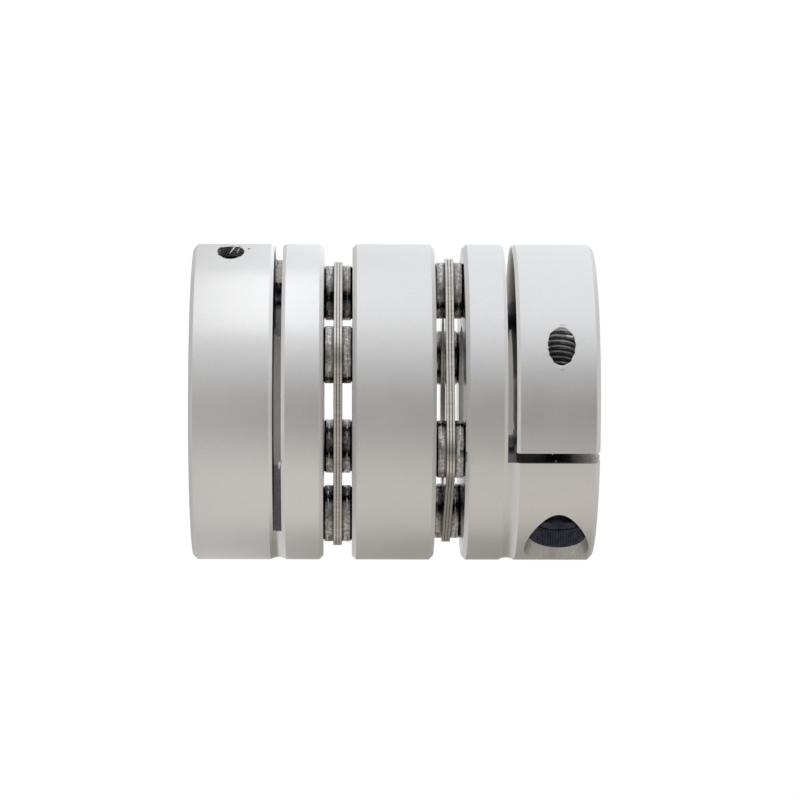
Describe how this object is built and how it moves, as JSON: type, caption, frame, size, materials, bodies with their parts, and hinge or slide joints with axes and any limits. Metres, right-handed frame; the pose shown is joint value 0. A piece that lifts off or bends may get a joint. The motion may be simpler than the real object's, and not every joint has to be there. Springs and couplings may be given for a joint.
{
  "type": "double disc coupling",
  "caption": "Zero-backlash shaft coupling: clamping aluminium hubs joined to a centre spacer by packs of thin spring-steel discs.",
  "frame": {"origin": "on the bore axis, at the lower hub's outer end face", "axes": "+Z along the bore axis from the lower hub to the upper hub; the upper hub's slit lies at -67.5 degrees from +X and the lower hub's at 157.5"},
  "size_m": [0.039, 0.039, 0.049],
  "materials": {
    "anodised_aluminium": "satin, bead blasted and clear anodised",
    "spring_steel": "bright rolled stainless with blanked edges",
    "collar_steel": "turned steel, mottled",
    "black_oxide_screw": "black oxide, knurled head",
    "pack_screw_steel": "plain steel"
  },
  "bodies": {
    "root": {"center_spacer": "anodised_aluminium", "lower_clamp_screw": "black_oxide_screw", "lower_disc_leaf_1": "spring_steel", "lower_disc_leaf_2": "spring_steel", "lower_disc_leaf_3": "spring_steel", "lower_hub": "anodised_aluminium", "lower_hub_collar_1": "collar_steel", "lower_hub_collar_2": "collar_steel", "lower_hub_collar_3": "collar_steel", "lower_hub_collar_4": "collar_steel", "lower_pack_screw_1": "pack_screw_steel", "lower_pack_screw_2": "pack_screw_steel", "lower_pack_screw_3": "pack_screw_steel", "lower_pack_screw_4": "pack_screw_steel", "lower_spacer_collar_1": "collar_steel", "lower_spacer_collar_2": "collar_steel", "lower_spacer_collar_3": "collar_steel", "lower_spacer_collar_4": "collar_steel", "upper_clamp_screw": "black_oxide_screw", "upper_disc_leaf_1": "spring_steel", "upper_disc_leaf_2": "spring_steel", "upper_disc_leaf_3": "spring_steel", "upper_hub": "anodised_aluminium", "upper_hub_collar_1": "collar_steel", "upper_hub_collar_2": "collar_steel", "upper_hub_collar_3": "collar_steel", "upper_hub_collar_4": "collar_steel", "upper_pack_screw_1": "pack_screw_steel", "upper_pack_screw_2": "pack_screw_steel", "upper_pack_screw_3": "pack_screw_steel", "upper_pack_screw_4": "pack_screw_steel", "upper_spacer_collar_1": "collar_steel", "upper_spacer_collar_2": "collar_steel", "upper_spacer_collar_3": "collar_steel", "upper_spacer_collar_4": "collar_steel"}
  },
  "joints": []
}
